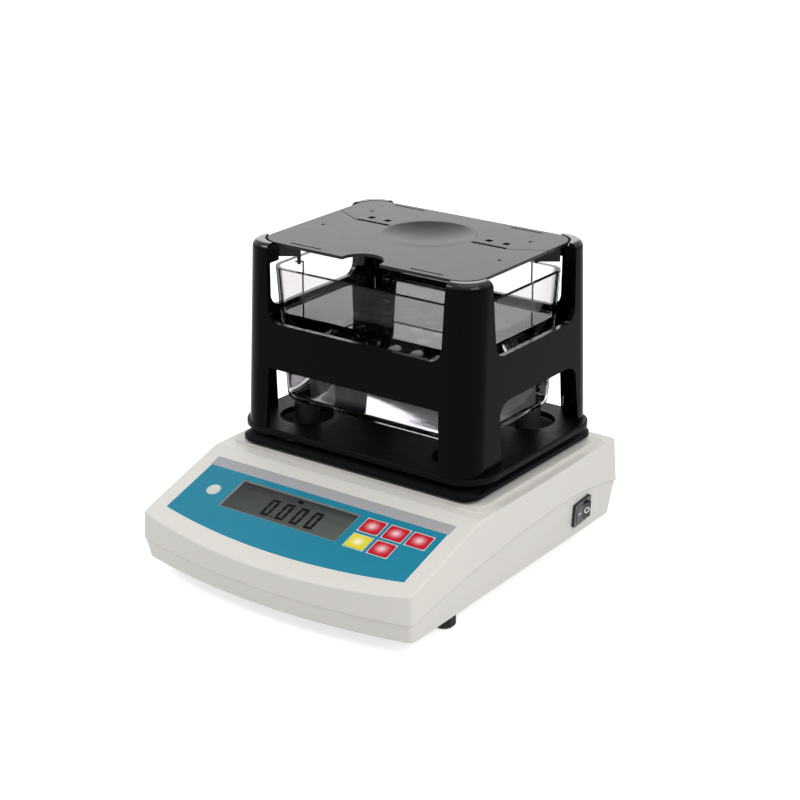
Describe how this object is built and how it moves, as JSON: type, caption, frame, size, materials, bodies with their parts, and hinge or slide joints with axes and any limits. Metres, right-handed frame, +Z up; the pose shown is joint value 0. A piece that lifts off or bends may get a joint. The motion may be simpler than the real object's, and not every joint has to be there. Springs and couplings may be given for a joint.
{
  "type": "benchtop density meter",
  "caption": "Electronic densimeter: sloped key panel and display, weighing stand with dished deck and hanging basket in a clear water tank, levelling feet.",
  "frame": {"origin": "on the bench, under the middle of the footprint; X = 0 is the plane of symmetry of housing and stand", "axes": "+X to the right seen from the key panel, +Y from the panel to the rear, +Z up"},
  "size_m": [0.192, 0.2235, 0.182],
  "materials": {
    "housing_white": "fine texture, warm white",
    "black_plastic": "satin black moulding",
    "slab_black": "fine texture, black",
    "overlay_film": "printed film, teal with a grey band",
    "lens_clear": "clear window",
    "lcd_glass": "grey-green display",
    "key_red": "satin red key film",
    "key_yellow": "satin yellow key film",
    "vial": "milky clear",
    "board": "green solder mask",
    "component": "moulded components",
    "steel": "plain steel",
    "wire_steel": "bright drawn wire",
    "aluminium": "milled",
    "rubber": "matt rubber",
    "switch_black": "gloss black",
    "tank_clear": "clear moulded plastic"
  },
  "bodies": {
    "base": {"upper_housing": "housing_white", "lower_housing": "housing_white", "fascia_overlay": "overlay_film", "lcd_lens": "lens_clear", "lcd_module": "lcd_glass", "level_vial": "vial", "key_board": "board", "key_switches": "component", "key_board_screws": "steel", "main_board": "board", "main_board_screws": "steel", "board_components": "component", "base_plate": "steel", "plate_screws": "steel", "cell_spacer_lower": "aluminium", "load_cell": "aluminium", "load_cell_screws_lower": "steel", "case_screws": "steel", "dc_inlet": "switch_black", "switch_bezel": "switch_black", "support_slab": "slab_black", "slab_screws": "steel", "tank_posts": "rubber"},
    "stage": {"stage_hub": "aluminium", "cell_spacer_upper": "aluminium", "load_cell_screws_upper": "steel", "weighing_tray": "slab_black", "tray_screws": "steel", "stand_frame": "black_plastic", "stand_screws": "steel"},
    "deck": {"front_deck": "black_plastic", "rear_deck": "black_plastic", "basket_wires": "wire_steel", "basket": "steel"},
    "tank": {"water_tank": "tank_clear"},
    "switch_rocker": {"rocker": "switch_black"},
    "key_1_cap": {"key_1": "key_red"},
    "key_2_cap": {"key_2": "key_red"},
    "key_3_cap": {"key_3": "key_red"},
    "key_enter_cap": {"key_enter": "key_yellow"},
    "key_zero_cap": {"key_zero": "key_red"},
    "foot_front_left_unit": {"foot_front_left": "black_plastic", "foot_stud_front_left": "steel"},
    "foot_front_right_unit": {"foot_front_right": "black_plastic", "foot_stud_front_right": "steel"},
    "foot_rear_left_unit": {"foot_rear_left": "black_plastic", "foot_stud_rear_left": "steel"},
    "foot_rear_right_unit": {"foot_rear_right": "black_plastic", "foot_stud_rear_right": "steel"}
  },
  "joints": [
    {"name": "stage_press", "type": "slide", "parent": "base", "child": "stage", "axis": [0, 0, 1], "range_m": [-0.0003, 0], "stiffness_N_per_m": 10000, "springref_m": 0.001, "deforming": ["load_cell"]},
    {"name": "deck_lift", "type": "slide", "parent": "stage", "child": "deck", "axis": [0, 0, 1], "range_m": [0, 0.24]},
    {"name": "tank_lift", "type": "slide", "parent": "base", "child": "tank", "axis": [0, 0, 1], "range_m": [0, 0.11]},
    {"name": "rocker_tilt", "type": "hinge", "parent": "base", "child": "switch_rocker", "pos_m": [0.09207, 0.071, 0.0254], "axis": [0.1184, -0.1132, 0.9865], "range_deg": [0, 18]},
    {"name": "key_1_press", "type": "slide", "parent": "base", "child": "key_1_cap", "axis": [0, 0.299, -0.9542], "range_m": [0, 0.0004], "stiffness_N_per_m": 1500, "springref_m": -0.0005},
    {"name": "key_2_press", "type": "slide", "parent": "base", "child": "key_2_cap", "axis": [0, 0.299, -0.9542], "range_m": [0, 0.0004], "stiffness_N_per_m": 1500, "springref_m": -0.0005},
    {"name": "key_3_press", "type": "slide", "parent": "base", "child": "key_3_cap", "axis": [0, 0.299, -0.9542], "range_m": [0, 0.0004], "stiffness_N_per_m": 1500, "springref_m": -0.0005},
    {"name": "key_enter_press", "type": "slide", "parent": "base", "child": "key_enter_cap", "axis": [0, 0.299, -0.9542], "range_m": [0, 0.0004], "stiffness_N_per_m": 1500, "springref_m": -0.0005},
    {"name": "key_zero_press", "type": "slide", "parent": "base", "child": "key_zero_cap", "axis": [0, 0.299, -0.9542], "range_m": [0, 0.0004], "stiffness_N_per_m": 1500, "springref_m": -0.0005},
    {"name": "foot_front_left_screw", "type": "slide", "parent": "base", "child": "foot_front_left_unit", "axis": [0, 0, -1], "range_m": [0, 0.006]},
    {"name": "foot_front_right_screw", "type": "slide", "parent": "base", "child": "foot_front_right_unit", "axis": [0, 0, -1], "range_m": [0, 0.006]},
    {"name": "foot_rear_left_screw", "type": "slide", "parent": "base", "child": "foot_rear_left_unit", "axis": [0, 0, -1], "range_m": [0, 0.006]},
    {"name": "foot_rear_right_screw", "type": "slide", "parent": "base", "child": "foot_rear_right_unit", "axis": [0, 0, -1], "range_m": [0, 0.006]}
  ],
  "couplings": [
    {"joint": "tank_lift", "follows": "deck_lift", "ratio": 0.45}
  ]
}
